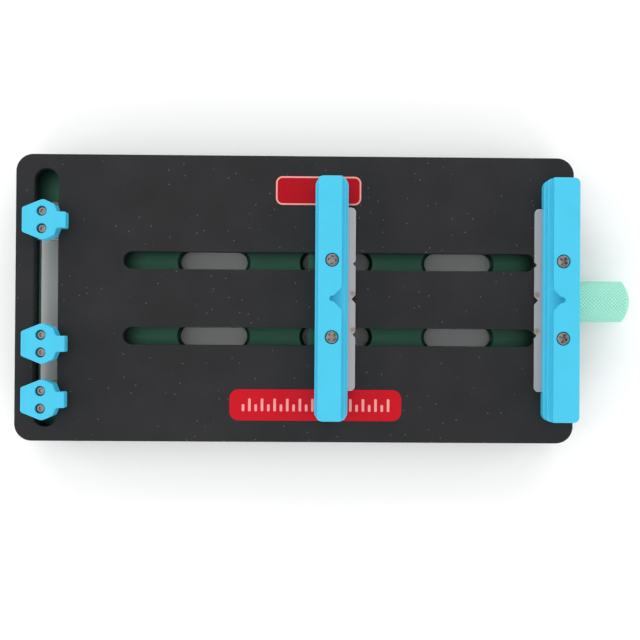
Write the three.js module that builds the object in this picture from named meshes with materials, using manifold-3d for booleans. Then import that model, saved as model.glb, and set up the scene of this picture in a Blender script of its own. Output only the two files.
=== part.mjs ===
// Circuit-board vise for a bench. A slotted top plate on a channelled base body carries a fixed jaw,
// a double-sided jaw moved by a lead screw and knob, and three board clips in a cross slot.
// Millimetres, +Z up. +X runs along the lead screw towards the knob, +Y along the jaws.
// Every piece is laid out from the middle of the plate's top face; the finished group is then
// moved so that the origin is on the bench, below the middle of the whole vise.

import * as THREE from "three";
import { mergeVertices } from "three/addons/utils/BufferGeometryUtils.js";
import Module from "manifold-3d";

const wasm = await Module();
wasm.setup();

// ---------------------------------------------------------------- driving dimensions
const REST_GAP = 0.05; // between flat faces that rest on each other
const FIT_GAP = 0.3; // around screws, nuts and other set-in pieces
const END_GAP = 0.4; // past the end of a blind hole's screw
const RUN_GAP = 0.1; // radial clearance of turning and sliding pieces

const PLATE_LENGTH = 195;
const PLATE_WIDTH = 100;
const PLATE_THICK = 5;
const PLATE_CORNER = 6;

const BODY_INSET = 1; // the base body stands back from the plate's edge
const BODY_BOTTOM = -15;
const CHANNEL_FLOOR = -12;
const FOOT = { radius: 5, height: 3.45, x: 87, y: 42.5 };
const PLATE_SCREW_X = { left: -72, centre: 10, right: 77 };
const PLATE_SCREW_Y = 42;

const LABELS = [
  { place: "back", x: [-7, 22.9], y: [32.8, 42.9], radius: 2.4 },
  { place: "front", x: [-22.7, 37.3], y: [-42.5, -31.6], radius: 3.2 },
];
const LABEL_Z = [0.05, 0.15];

const SLOT_Y = 13.2; // the two long slots, which also set the jaw screws
const SLOT_WIDTH = 6.1;
const SLOT_X = [-60, 84];
const CROSS_X = -86.9; // the cross slot that the clips slide in
const CROSS_WIDTH = 8.4;
const CROSS_HALF = 45;

const CHANNEL_X = [-66, 86]; // carriage channel in the body
const CHANNEL_HALF_WIDTH = 24.5;
const CLIP_CHANNEL_HALF_WIDTH = 6.3;
const CLIP_CHANNEL_HALF_LENGTH = 46.5;
const CLIP_WINDOW_WIDTH = 9.8;
const CLIP_WINDOW_HALF = 34.8;
const WINDOW_LENGTH = 24;
const WINDOW_WIDTH = 7.5;
const WINDOW_PITCH = 43.85;
const WINDOW_CHAMFER = 1.1;
const LAST_WINDOW_X = 58.4;

const FIXED_JAW_X = 91.8; // screw line of each jaw
const MOVING_JAW_X = 12.6;
const JAW_LENGTH = 84;
const JAW_TOP = 10;
const JAW_HALF = [5.7, 4.8, 3.4]; // half width at the foot, at the board ledge and at the top
const LEDGE_Z = [4.6, 6.8]; // board ledge, shelf under the top land
const JAW_CORNER = 2.8;
const JAW_BACK_CORNER = 2;
const VEE = { mouth: 3.8, waist: [1, 1.3], throat: [0.1, 0.9] }; // half widths, and x of waist and throat
const MOVING_LIFT = 0.3; // running clearance of the moving jaw over the plate

const INSERT_REACH = 8.4; // gripping edge of the steel insert from the screw line
const INSERT_BACK = 4.9;
const INSERT_HALF = 31.9;
const INSERT_Z = [0.3, 1.8];
const NOTCHES = [{ y: -12.3, depth: 0.95, half: 1 }, { y: 0, depth: 1.35, half: 1.5 }, { y: 12.3, depth: 0.95, half: 1 }];

const SCREW_Z = -8.6; // axis of the lead screw, knob and guide rods
const LEAD_RADIUS = 2;
const LEAD_X = [-69.2, 114]; // ends of the screw, journals included
const THREAD_X = [-65.6, 85.4];
const JOURNAL_RADIUS = 1.5;
const BEARING = { outer: 3, left: [-68.6, -66.1], right: [93.9, 96.4] };
const COLLAR = { outer: 3.2, x: [82.6, 85.2] };
const WASHER = { outer: 3.5, x: [96.7, 98.2] };
const KNOB_RADIUS = 7.3;
const KNOB_X = [98.6, 116.5, 119.1]; // inner end, start of the dome, tip
const KNOB_EDGE = 0.5;
const GRUB = { radius: 1.5, x: 104.1, head: -6.2 };
const ROD_Y = 20;
const ROD_X = [-69.7, 89.7];
const ROD_RADIUS = 1.75;

const CARRIAGE = { halfX: 8, halfY: 24, bottom: -11.7, top: -5.4, post: 9 };
const NUT = { halfX: 5, halfY: 4.5, bottom: -11.5, top: -5.6 };
const BUSH = { outer: 2.45, half: 7.5 };

const CLIP_Y = { back: 26.4, middle: -16.1, front: -35.3 };
const CLIP_TOP = 7.5;
const CLIP_SCREW_HALF = 3;
const CLIP_OUTLINE = [[8.3, 2.75, 0.5], [5.3, 2.75, 0.8], [4.35, 5.3, 0.9], [0.55, 7.15, 1.3], [-6.7, 4.2, 0.9]];
const TONGUE = { from: 5.3, bottom: 2.6, groove: [4.6, 6.3], grooveFrom: 7.2 };
const TEE = { bossX: 3.9, bossY: 4.8, flangeX: 5.6, flangeY: 6, top: -0.3, shoulder: -5.3, bottom: -8 };

const JAW_SCREW = { head: 2.1, shank: 1.25, top: JAW_TOP - 0.15, end: -4.1 };
const PLATE_SCREW = { head: 2.8, shank: 1.5, end: -1.5 };
const CLIP_SCREW = { head: 1.4, shank: 1, seat: 4.45, top: 5.95, end: -7.6 };

// ---------------------------------------------------------------- materials
function finish(name, color, roughness, metalness) {
  const material = new THREE.MeshStandardMaterial({ color, roughness, metalness });
  material.name = name;
  return material;
}

const blackAnodised = finish("black_anodised_aluminium", 0x38383b, 0.6, 0.3);
const greenAnodised = finish("green_anodised_aluminium", 0x1f7a5c, 0.35, 0.8);
const blueLacquer = finish("blue_lacquered_aluminium", 0x4ccdf0, 0.5, 0.1);
const mintAnodised = finish("mint_anodised_aluminium", 0x9fe3cd, 0.4, 0.4);
const groundSteel = finish("ground_steel", 0xb0adb2, 0.4, 0.9);
const screwSteel = finish("screw_steel", 0x8a8078, 0.35, 1);
const brass = finish("brass", 0xb5914a, 0.35, 1);
const rubber = finish("black_rubber", 0x202022, 0.9, 0);
const redLabel = finish("red_printed_film", 0xc41f2c, 0.45, 0);
const nylon = finish("white_nylon", 0xdcdcd4, 0.6, 0);

// ---------------------------------------------------------------- solids
// A closed manifold from a three.js geometry: vertices merged, triangles without area dropped.
function solid(geometry) {
  geometry.deleteAttribute("normal");
  geometry.deleteAttribute("uv");
  const merged = mergeVertices(geometry, 1e-5);
  const index = merged.getIndex().array;
  const kept = [];
  for (let i = 0; i < index.length; i += 3) {
    const [a, b, c] = [index[i], index[i + 1], index[i + 2]];
    if (a !== b && b !== c && c !== a) kept.push(a, b, c);
  }
  const mesh = new wasm.Mesh({
    numProp: 3,
    vertProperties: new Float32Array(merged.getAttribute("position").array),
    triVerts: new Uint32Array(kept),
  });
  return new wasm.Manifold(mesh);
}

function named(name, body, material) {
  const { vertProperties, triVerts } = body.getMesh();
  const geometry = new THREE.BufferGeometry();
  geometry.setAttribute("position", new THREE.BufferAttribute(new Float32Array(vertProperties), 3));
  geometry.setIndex(new THREE.BufferAttribute(new Uint32Array(triVerts), 1));
  geometry.computeVertexNormals();
  const mesh = new THREE.Mesh(geometry, material);
  mesh.name = name;
  return mesh;
}

// A closed outline through corners [x, y, radius], given anticlockwise; radius 0 keeps it sharp.
function outline(corners) {
  const shape = new THREE.Shape();
  corners.forEach(([x, y, radius = 0], i) => {
    const here = new THREE.Vector2(x, y);
    const before = new THREE.Vector2(...corners.at(i - 1).slice(0, 2)).sub(here).normalize();
    const after = new THREE.Vector2(...corners[(i + 1) % corners.length].slice(0, 2)).sub(here).normalize();
    if (radius === 0) {
      if (i === 0) shape.moveTo(x, y);
      else shape.lineTo(x, y);
      return;
    }
    const half = Math.acos(THREE.MathUtils.clamp(before.dot(after), -1, 1)) / 2;
    const start = here.clone().addScaledVector(before, radius / Math.tan(half));
    const end = here.clone().addScaledVector(after, radius / Math.tan(half));
    const middle = before.clone().add(after).normalize();
    const centre = here.clone().addScaledVector(middle, radius / Math.sin(half));
    const clockwise = before.cross(after) > 0;
    if (i === 0) shape.moveTo(start.x, start.y);
    else shape.lineTo(start.x, start.y);
    shape.absarc(centre.x, centre.y, radius,
      Math.atan2(start.y - centre.y, start.x - centre.x),
      Math.atan2(end.y - centre.y, end.x - centre.x), clockwise);
  });
  shape.closePath();
  return shape;
}

function rectangle(x0, x1, y0, y1, radius = 0) {
  return outline([[x1, y0, radius], [x1, y1, radius], [x0, y1, radius], [x0, y0, radius]]);
}

// A slot with round ends, length measured over the ends, along X unless turned.
function pill(x, y, length, width, alongY = false) {
  const shape = new THREE.Shape();
  const reach = (length - width) / 2;
  const r = width / 2;
  if (alongY) {
    shape.absarc(x, y + reach, r, 0, Math.PI, false);
    shape.absarc(x, y - reach, r, Math.PI, 2 * Math.PI, false);
  } else {
    shape.absarc(x + reach, y, r, -Math.PI / 2, Math.PI / 2, false);
    shape.absarc(x - reach, y, r, Math.PI / 2, 1.5 * Math.PI, false);
  }
  shape.closePath();
  return shape;
}

// An outline in the XY plane raised from z0 to z1.
function prism(shape, z0, z1, curveSegments = 4) {
  const geometry = new THREE.ExtrudeGeometry(shape, { depth: z1 - z0, bevelEnabled: false, curveSegments });
  geometry.translate(0, 0, z0);
  return solid(geometry);
}

// A profile in the XZ plane run along Y, from -half to +half.
function barAlongY(shape, half) {
  const geometry = new THREE.ExtrudeGeometry(shape, { depth: 2 * half, bevelEnabled: false, curveSegments: 4 });
  geometry.translate(0, 0, -half);
  geometry.rotateX(Math.PI / 2);
  return solid(geometry);
}

function box(x0, x1, y0, y1, z0, z1) {
  const geometry = new THREE.BoxGeometry(x1 - x0, y1 - y0, z1 - z0);
  geometry.translate((x0 + x1) / 2, (y0 + y1) / 2, (z0 + z1) / 2);
  return solid(geometry);
}

// A turned piece from [radius, height] pairs that start and end on its axis or close on themselves.
function turned(profile, segments = 16) {
  return solid(new THREE.LatheGeometry(profile.map(([r, h]) => new THREE.Vector2(r, h)), segments));
}

function turnedAlongZ(profile, x, y, segments) {
  return turned(profile, segments).rotate([90, 0, 0]).translate([x, y, 0]);
}

function turnedAlongX(profile, y, z, segments) {
  return turned(profile, segments).rotate([0, 0, -90]).translate([0, y, z]);
}

function rod(radius, from, to) {
  return [[0, from], [radius, from], [radius, to], [0, to]];
}

function ring(inner, outer, from, to) {
  return [[inner, from], [outer, from], [outer, to], [inner, to], [inner, from]];
}

function cut(body, tools) {
  return tools.reduce((left, tool) => left.subtract(tool), body);
}

// ---------------------------------------------------------------- fasteners
// Countersunk screw pointing down: flush top at height top, 90 degree head.
function countersunk(headRadius, shankRadius, top, end) {
  return [[0, end], [shankRadius, end], [shankRadius, top - (headRadius - shankRadius)],
    [headRadius, top], [0, top]];
}

// The hole that takes it, open above the surface.
function countersunkHole(headRadius, shankRadius, surface, end) {
  const r = shankRadius + FIT_GAP;
  const mouth = headRadius + FIT_GAP;
  return [[0, end], [r, end], [r, surface - (mouth - r)], [mouth, surface], [mouth, surface + 1],
    [0, surface + 1]];
}

const jawScrewYs = { back: SLOT_Y, front: -SLOT_Y };

function jawScrewHoles(end) {
  const profile = countersunkHole(JAW_SCREW.head, JAW_SCREW.shank, JAW_TOP, end);
  return Object.values(jawScrewYs).map((y) => turnedAlongZ(profile, 0, y, 20));
}

function jawScrews(prefix) {
  const profile = countersunk(JAW_SCREW.head, JAW_SCREW.shank, JAW_SCREW.top, JAW_SCREW.end);
  return Object.entries(jawScrewYs).map(([place, y]) =>
    named(`${prefix}_jaw_screw_${place}`, turnedAlongZ(profile, 0, y, 20), screwSteel));
}

// ---------------------------------------------------------------- top plate
function topPlate() {
  const half = { x: PLATE_LENGTH / 2, y: PLATE_WIDTH / 2 };
  const blank = prism(rectangle(-half.x, half.x, -half.y, half.y, PLATE_CORNER), -PLATE_THICK, 0, 5);
  const slotLength = SLOT_X[1] - SLOT_X[0];
  const slotMiddle = (SLOT_X[0] + SLOT_X[1]) / 2;
  const tools = [SLOT_Y, -SLOT_Y].map((y) =>
    prism(pill(slotMiddle, y, slotLength, SLOT_WIDTH), -PLATE_THICK - 1, 1, 5));
  tools.push(prism(pill(CROSS_X, 0, 2 * CROSS_HALF, CROSS_WIDTH, true), -PLATE_THICK - 1, 1, 6));
  for (const y of Object.values(jawScrewYs)) {
    tools.push(turnedAlongZ(rod(JAW_SCREW.shank + FIT_GAP, JAW_SCREW.end - END_GAP, 1), FIXED_JAW_X, y, 16));
  }
  for (const x of Object.values(PLATE_SCREW_X)) {
    for (const y of [PLATE_SCREW_Y, -PLATE_SCREW_Y]) {
      tools.push(turnedAlongZ(rod(PLATE_SCREW.shank + FIT_GAP, -PLATE_THICK - 1, PLATE_SCREW.end + FIT_GAP), x, y, 16));
    }
  }
  return named("top_plate", cut(blank, tools), blackAnodised);
}

// Thin printed labels on the plate; the moving jaw passes over them.
function labels() {
  return LABELS.map(({ place, x, y, radius }) =>
    named(`plate_label_${place}`, prism(rectangle(...x, ...y, radius), ...LABEL_Z, 3), redLabel));
}

// ---------------------------------------------------------------- base body
// Floor window with round ends; a bevelled cutter gives its upper rim a 45 degree chamfer.
function floorWindow(x, y, length, width, alongY, chamfer) {
  const shape = pill(x, y, length, width, alongY);
  const through = prism(shape, BODY_BOTTOM - 1, CHANNEL_FLOOR + 1, 4);
  if (!chamfer) return through;
  const bevel = { bevelEnabled: true, bevelThickness: chamfer, bevelSize: chamfer, bevelSegments: 1 };
  const rim = new THREE.ExtrudeGeometry(shape, { depth: 1, curveSegments: 4, ...bevel });
  rim.translate(0, 0, CHANNEL_FLOOR);
  return through.add(solid(rim));
}

function baseBody() {
  const x = PLATE_LENGTH / 2 - BODY_INSET;
  const y = PLATE_WIDTH / 2 - BODY_INSET;
  const top = -PLATE_THICK - REST_GAP;
  const blank = prism(rectangle(-x, x, -y, y, PLATE_CORNER - BODY_INSET), BODY_BOTTOM, top, 5);
  const clipWidth = CLIP_CHANNEL_HALF_WIDTH;
  const clipLength = CLIP_CHANNEL_HALF_LENGTH;
  const tools = [
    box(CHANNEL_X[0], CHANNEL_X[1], -CHANNEL_HALF_WIDTH, CHANNEL_HALF_WIDTH, CHANNEL_FLOOR, top + 1),
    box(CROSS_X - clipWidth, CROSS_X + clipWidth, -clipLength, clipLength, CHANNEL_FLOOR, top + 1),
    floorWindow(CROSS_X, 0, 2 * CLIP_WINDOW_HALF, CLIP_WINDOW_WIDTH, true, 0),
  ];
  for (let i = 0; i < 3; i++) {
    for (const side of [SLOT_Y, -SLOT_Y]) {
      const middle = LAST_WINDOW_X - i * WINDOW_PITCH;
      tools.push(floorWindow(middle, side, WINDOW_LENGTH, WINDOW_WIDTH, false, WINDOW_CHAMFER));
    }
  }
  // Lead screw: a blind seat on the left, a hole and an outside bearing seat on the right.
  tools.push(turnedAlongX(rod(BEARING.outer + RUN_GAP, BEARING.left[0] - RUN_GAP, CHANNEL_X[0] + 1), 0, SCREW_Z, 20));
  tools.push(turnedAlongX(rod(JOURNAL_RADIUS + FIT_GAP, LEAD_X[0] - 0.5, CHANNEL_X[0] + 1), 0, SCREW_Z, 16));
  tools.push(turnedAlongX(rod(JOURNAL_RADIUS + FIT_GAP, CHANNEL_X[1] - 1, x + 1), 0, SCREW_Z, 16));
  tools.push(turnedAlongX(rod(BEARING.outer + RUN_GAP, BEARING.right[0] - RUN_GAP, x + 1), 0, SCREW_Z, 20));
  for (const side of [ROD_Y, -ROD_Y]) {
    tools.push(turnedAlongX(rod(ROD_RADIUS + FIT_GAP, ROD_X[0] - FIT_GAP, ROD_X[1] + FIT_GAP), side, SCREW_Z, 16));
  }
  const hole = countersunkHole(PLATE_SCREW.head, PLATE_SCREW.shank, -BODY_BOTTOM, -top - 1);
  for (const screwX of Object.values(PLATE_SCREW_X)) {
    for (const screwY of [PLATE_SCREW_Y, -PLATE_SCREW_Y]) {
      tools.push(turned(hole).rotate([-90, 0, 0]).translate([screwX, screwY, 0]));
    }
  }
  return named("base_body", cut(blank, tools), greenAnodised);
}

function plateScrews() {
  const profile = countersunk(PLATE_SCREW.head, PLATE_SCREW.shank, -BODY_BOTTOM - 0.1, -PLATE_SCREW.end);
  const screws = [];
  for (const [place, x] of Object.entries(PLATE_SCREW_X)) {
    for (const [side, y] of [["back", PLATE_SCREW_Y], ["front", -PLATE_SCREW_Y]]) {
      const body = turned(profile).rotate([-90, 0, 0]).translate([x, y, 0]);
      screws.push(named(`plate_screw_${side}_${place}`, body, screwSteel));
    }
  }
  return screws;
}

function feet() {
  const top = BODY_BOTTOM - REST_GAP;
  const { radius, height } = FOOT;
  const profile = [[0, top - height], [radius - 0.5, top - height], [radius, top - height + 0.8],
    [radius, top], [0, top]];
  const places = [["back_left", -FOOT.x, FOOT.y], ["back_right", FOOT.x, FOOT.y],
    ["front_left", -FOOT.x, -FOOT.y], ["front_right", FOOT.x, -FOOT.y]];
  return places.map(([place, x, y]) => named(`foot_${place}`, turnedAlongZ(profile, x, y, 24), rubber));
}

// ---------------------------------------------------------------- jaws
// The stepped bar, its gripping side towards +X. The moving jaw's back has one more board ledge.
function jawBar(bottom, doubleSided, seat) {
  const [foot, ledge, land] = JAW_HALF;
  const grip = [[foot, bottom], [foot, LEDGE_Z[0]], [ledge, LEDGE_Z[0]], [ledge, LEDGE_Z[1]],
    [land, LEDGE_Z[1]], [land, JAW_TOP]];
  const back = doubleSided
    ? [[-ledge, JAW_TOP], [-ledge, LEDGE_Z[0]], [-foot, LEDGE_Z[0]], [-foot, bottom]]
    : [[-foot, JAW_TOP], [-foot, bottom]];
  const bar = barAlongY(outline([...grip, ...back]), JAW_LENGTH / 2 + 1);
  const end = JAW_LENGTH / 2;
  const backCorner = doubleSided ? JAW_CORNER : JAW_BACK_CORNER;
  const plan = outline([[foot, -end, JAW_CORNER], [foot, end, JAW_CORNER],
    [-foot, end, backCorner], [-foot, -end, backCorner]]);
  // V recess in the top land: 45 degree mouth, then a narrow throat with a round end.
  const [waistX, waist] = VEE.waist;
  const [throatX, throat] = VEE.throat;
  const front = foot + 1;
  const wide = VEE.mouth + front - land;
  const vee = new THREE.Shape();
  vee.moveTo(front, -wide);
  vee.lineTo(front, wide);
  vee.lineTo(land, VEE.mouth);
  vee.lineTo(waistX, waist);
  vee.lineTo(throatX, throat);
  vee.absarc(throatX, 0, throat, Math.PI / 2, 1.5 * Math.PI, false);
  vee.lineTo(waistX, -waist);
  vee.lineTo(land, -VEE.mouth);
  vee.closePath();
  const insertSeat = box(-INSERT_BACK - FIT_GAP, foot + 1, -INSERT_HALF - FIT_GAP, INSERT_HALF + FIT_GAP,
    bottom - 1, seat);
  return cut(bar.intersect(prism(plan, bottom - 1, JAW_TOP + 1, 4)),
    [prism(vee, LEDGE_Z[1], JAW_TOP + 1, 4), insertSeat, ...jawScrewHoles(bottom - 1)]);
}

// Steel insert with a large middle notch and two small ones in its gripping edge.
function jawInsert() {
  const notches = NOTCHES.flatMap(({ y, depth, half }) =>
    [[INSERT_REACH, y - half], [INSERT_REACH - depth, y], [INSERT_REACH, y + half]]);
  const plan = outline([[INSERT_REACH, -INSERT_HALF, 1.6], ...notches, [INSERT_REACH, INSERT_HALF, 1.6],
    [-INSERT_BACK, INSERT_HALF, 0.5], [-INSERT_BACK, -INSERT_HALF, 0.5]]);
  const holes = Object.values(jawScrewYs).map((y) =>
    turnedAlongZ(rod(JAW_SCREW.shank + FIT_GAP, INSERT_Z[0] - 1, INSERT_Z[1] + 1), 0, y, 16));
  return cut(prism(plan, INSERT_Z[0], INSERT_Z[1], 3), holes);
}

function fixedJaw() {
  const group = new THREE.Group();
  group.position.x = FIXED_JAW_X;
  group.rotation.z = Math.PI; // gripping side towards the middle
  group.add(named("fixed_jaw", jawBar(REST_GAP, false, INSERT_Z[1] + REST_GAP), blueLacquer));
  group.add(named("fixed_jaw_insert", jawInsert(), groundSteel));
  const screws = jawScrews("fixed");
  screws[0].name = "fixed_jaw_screw_front"; // the half turn swaps the two ends
  screws[1].name = "fixed_jaw_screw_back";
  group.add(...screws);
  return group;
}

// ---------------------------------------------------------------- moving jaw and carriage
function carriage() {
  const bar = box(-CARRIAGE.halfX, CARRIAGE.halfX, -CARRIAGE.halfY, CARRIAGE.halfY, CARRIAGE.bottom, CARRIAGE.top);
  const posts = Object.values(jawScrewYs).map((y) =>
    prism(pill(0, y, CARRIAGE.post, SLOT_WIDTH - 2 * FIT_GAP), CARRIAGE.top - 1, INSERT_Z[0] - REST_GAP, 5));
  const tools = [
    box(-NUT.halfX - FIT_GAP, NUT.halfX + FIT_GAP, -NUT.halfY - FIT_GAP, NUT.halfY + FIT_GAP,
      CARRIAGE.bottom - 1, CARRIAGE.top + 1),
    turnedAlongX(rod(LEAD_RADIUS + FIT_GAP, -CARRIAGE.halfX - 1, CARRIAGE.halfX + 1), 0, SCREW_Z, 16),
  ];
  for (const y of [ROD_Y, -ROD_Y]) {
    tools.push(turnedAlongX(rod(BUSH.outer + REST_GAP, -CARRIAGE.halfX - 1, CARRIAGE.halfX + 1), y, SCREW_Z, 20));
  }
  for (const y of Object.values(jawScrewYs)) {
    tools.push(turnedAlongZ(rod(JAW_SCREW.shank + FIT_GAP, JAW_SCREW.end - END_GAP, 1), 0, y, 16));
  }
  return cut(posts.reduce((all, post) => all.add(post), bar), tools);
}

function movingJaw() {
  const group = new THREE.Group();
  group.position.x = MOVING_JAW_X;
  group.add(named("moving_jaw", jawBar(MOVING_LIFT, true, INSERT_Z[1] + REST_GAP), blueLacquer));
  group.add(named("moving_jaw_insert", jawInsert(), groundSteel));
  group.add(...jawScrews("moving"));
  group.add(named("carriage", carriage(), greenAnodised));
  const nutBlock = box(-NUT.halfX, NUT.halfX, -NUT.halfY, NUT.halfY, NUT.bottom, NUT.top);
  const nutBore = turnedAlongX(rod(LEAD_RADIUS + RUN_GAP, -NUT.halfX - 1, NUT.halfX + 1), 0, SCREW_Z, 20);
  group.add(named("lead_nut", cut(nutBlock, [nutBore]), brass));
  for (const [side, y] of [["back", ROD_Y], ["front", -ROD_Y]]) {
    const bush = turnedAlongX(ring(ROD_RADIUS + RUN_GAP, BUSH.outer, -BUSH.half, BUSH.half), y, SCREW_Z, 20);
    group.add(named(`guide_bush_${side}`, bush, brass));
  }
  return group;
}

// ---------------------------------------------------------------- lead screw and guides
function leadScrewGroup() {
  const group = new THREE.Group();
  group.position.z = SCREW_Z;
  const shaft = [[0, LEAD_X[0]], [JOURNAL_RADIUS, LEAD_X[0]], [JOURNAL_RADIUS, THREAD_X[0]],
    [LEAD_RADIUS, THREAD_X[0]], [LEAD_RADIUS, THREAD_X[1]], [JOURNAL_RADIUS, THREAD_X[1]],
    [JOURNAL_RADIUS, LEAD_X[1]], [0, LEAD_X[1]]];
  group.add(named("lead_screw", turnedAlongX(shaft, 0, 0, 20), screwSteel));
  group.add(named("thrust_collar", turnedAlongX(ring(LEAD_RADIUS + RUN_GAP, COLLAR.outer, ...COLLAR.x), 0, 0, 24), screwSteel));
  group.add(named("thrust_washer", turnedAlongX(ring(JOURNAL_RADIUS + FIT_GAP, WASHER.outer, ...WASHER.x), 0, 0, 24), nylon));
  // Knob: cylinder with a rounded shoulder and a spherical end, bored for the shaft and a grub screw.
  const [inner, shoulder, tip] = KNOB_X;
  const crown = tip - shoulder;
  const sphere = (KNOB_RADIUS ** 2 + crown ** 2) / (2 * crown);
  const profile = [[0, inner], [KNOB_RADIUS - KNOB_EDGE, inner], [KNOB_RADIUS, inner + KNOB_EDGE], [KNOB_RADIUS, shoulder]];
  const rings = 5;
  for (let i = rings - 1; i >= 0; i--) {
    const r = (KNOB_RADIUS * i) / rings;
    profile.push([r, tip - sphere + Math.sqrt(sphere ** 2 - r ** 2)]);
  }
  const knob = cut(turnedAlongX(profile, 0, 0, 40), [
    turnedAlongX(rod(JOURNAL_RADIUS + RUN_GAP, inner - 1, LEAD_X[1] + FIT_GAP), 0, 0, 20),
    turnedAlongZ(rod(GRUB.radius + RUN_GAP, -KNOB_RADIUS - 1, 0), GRUB.x, 0, 16),
  ]);
  group.add(named("knob", knob, mintAnodised));
  group.add(named("knob_grub_screw", turnedAlongZ(rod(GRUB.radius, GRUB.head, -JOURNAL_RADIUS - RUN_GAP), GRUB.x, 0, 16), screwSteel));
  return group;
}

function guides() {
  const pieces = [["back", ROD_Y], ["front", -ROD_Y]].map(([side, y]) =>
    named(`guide_rod_${side}`, turnedAlongX(rod(ROD_RADIUS, ...ROD_X), y, SCREW_Z, 20), groundSteel));
  for (const side of ["left", "right"]) {
    const bearing = turnedAlongX(ring(JOURNAL_RADIUS + RUN_GAP, BEARING.outer, ...BEARING[side]), 0, SCREW_Z, 24);
    pieces.push(named(`screw_bearing_${side}`, bearing, groundSteel));
  }
  return pieces;
}

// ---------------------------------------------------------------- board clips
function clipBody() {
  const back = CLIP_OUTLINE.map(([x, y, r]) => [x, -y, r]).reverse();
  const block = prism(outline([...CLIP_OUTLINE, ...back]), FIT_GAP, CLIP_TOP, 3);
  const tools = [
    box(TONGUE.from, 10, -4, 4, -1, TONGUE.bottom),
    box(TONGUE.grooveFrom, 10, -4, 4, ...TONGUE.groove),
  ];
  for (const y of [CLIP_SCREW_HALF, -CLIP_SCREW_HALF]) {
    const narrow = CLIP_SCREW.shank + FIT_GAP;
    const wide = CLIP_SCREW.head + FIT_GAP + REST_GAP;
    tools.push(turnedAlongZ([[0, -1], [narrow, -1], [narrow, CLIP_SCREW.seat - REST_GAP],
      [wide, CLIP_SCREW.seat - REST_GAP], [wide, CLIP_TOP + 1], [0, CLIP_TOP + 1]], 0, y, 20));
  }
  return cut(block, tools);
}

function teeNut() {
  const boss = box(-TEE.bossX, TEE.bossX, -TEE.bossY, TEE.bossY, TEE.shoulder - 1, TEE.top);
  const flange = box(-TEE.flangeX, TEE.flangeX, -TEE.flangeY, TEE.flangeY, TEE.bottom, TEE.shoulder);
  const holes = [CLIP_SCREW_HALF, -CLIP_SCREW_HALF].map((y) =>
    turnedAlongZ(rod(CLIP_SCREW.shank + FIT_GAP, TEE.bottom - 1, 1), 0, y, 16));
  return cut(boss.add(flange), holes);
}

function boardClip(place) {
  const group = new THREE.Group();
  group.position.set(CROSS_X, CLIP_Y[place], 0);
  group.add(named(`board_clip_${place}`, clipBody(), blueLacquer));
  group.add(named(`clip_nut_${place}`, teeNut(), groundSteel));
  const { head, shank, seat, top, end } = CLIP_SCREW;
  const profile = [[0, end], [shank, end], [shank, seat], [head, seat], [head, top], [0, top]];
  for (const [number, y] of [[1, CLIP_SCREW_HALF], [2, -CLIP_SCREW_HALF]]) {
    group.add(named(`clip_screw_${place}_${number}`, turnedAlongZ(profile, 0, y, 16), screwSteel));
  }
  return group;
}

// ---------------------------------------------------------------- the whole vise
const vise = new THREE.Group();
vise.name = "circuit_board_vise";
vise.add(topPlate(), ...labels(), baseBody(), ...plateScrews(), ...feet(), ...guides());
vise.add(fixedJaw(), movingJaw(), leadScrewGroup());
vise.add(...Object.keys(CLIP_Y).map(boardClip));
const middleX = (KNOB_X[2] - PLATE_LENGTH / 2) / 2;
vise.position.set(-middleX, 0, FOOT.height + REST_GAP - BODY_BOTTOM);

export default vise;
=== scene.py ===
import math

import bmesh
import bpy
from bpy.props import FloatProperty, FloatVectorProperty, IntProperty, PointerProperty
from mathutils import Euler, Matrix, Vector
from mathutils.geometry import delaunay_2d_cdt


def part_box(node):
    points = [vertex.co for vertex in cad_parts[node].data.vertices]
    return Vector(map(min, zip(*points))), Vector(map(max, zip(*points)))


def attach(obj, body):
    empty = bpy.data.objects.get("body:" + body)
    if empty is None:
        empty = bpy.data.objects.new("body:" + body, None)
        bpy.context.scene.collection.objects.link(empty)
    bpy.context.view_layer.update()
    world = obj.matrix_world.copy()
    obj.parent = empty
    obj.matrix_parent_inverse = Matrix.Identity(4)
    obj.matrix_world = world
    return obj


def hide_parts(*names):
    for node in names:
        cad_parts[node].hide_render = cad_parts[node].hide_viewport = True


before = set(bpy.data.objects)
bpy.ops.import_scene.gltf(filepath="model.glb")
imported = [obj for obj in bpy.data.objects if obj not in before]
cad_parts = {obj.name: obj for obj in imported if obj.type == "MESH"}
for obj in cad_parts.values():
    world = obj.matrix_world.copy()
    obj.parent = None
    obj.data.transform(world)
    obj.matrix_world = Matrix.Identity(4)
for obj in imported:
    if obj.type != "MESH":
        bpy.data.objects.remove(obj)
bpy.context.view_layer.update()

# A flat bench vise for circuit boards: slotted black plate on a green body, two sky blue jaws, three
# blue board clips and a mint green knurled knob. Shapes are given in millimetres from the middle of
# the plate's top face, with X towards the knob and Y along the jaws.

bl_info = {
    "name": "Circuit board vise",
    "version": (1, 0, 0),
    "blender": (4, 5, 0),
    "location": "3D View > Sidebar > Vise",
    "description": "Builds a slotted bench vise for circuit boards, its jaws, clips, knob and stage",
    "category": "Object",
}

MM = 0.001
_low, _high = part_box("top_plate")
PLATE = Vector(((_low.x + _high.x) / 2, 0, _high.z))  # middle of the plate's top face
KNOB_CROWN = 2.6  # height of the knob's domed end


def linear(code):
    """An sRGB hex colour as linear red, green and blue."""
    parts = [int(code[i : i + 2], 16) / 255 for i in (0, 2, 4)]
    return tuple(c / 12.92 if c <= 0.04045 else ((c + 0.055) / 1.055) ** 2.4 for c in parts)


def node_box(name):
    """Lowest and highest corner of a CAD node, in millimetres from the middle of the plate's top."""
    return tuple((corner - PLATE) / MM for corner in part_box(name))


# ------------------------------------------------------------------ what a user would change


def length(name, description, default):
    return FloatProperty(name=name, description=description, default=default, min=0, unit="LENGTH")


def colour(name, description, code):
    return FloatVectorProperty(
        name=name, description=description, default=linear(code), size=3, min=0, max=1, subtype="COLOR"
    )


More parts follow.
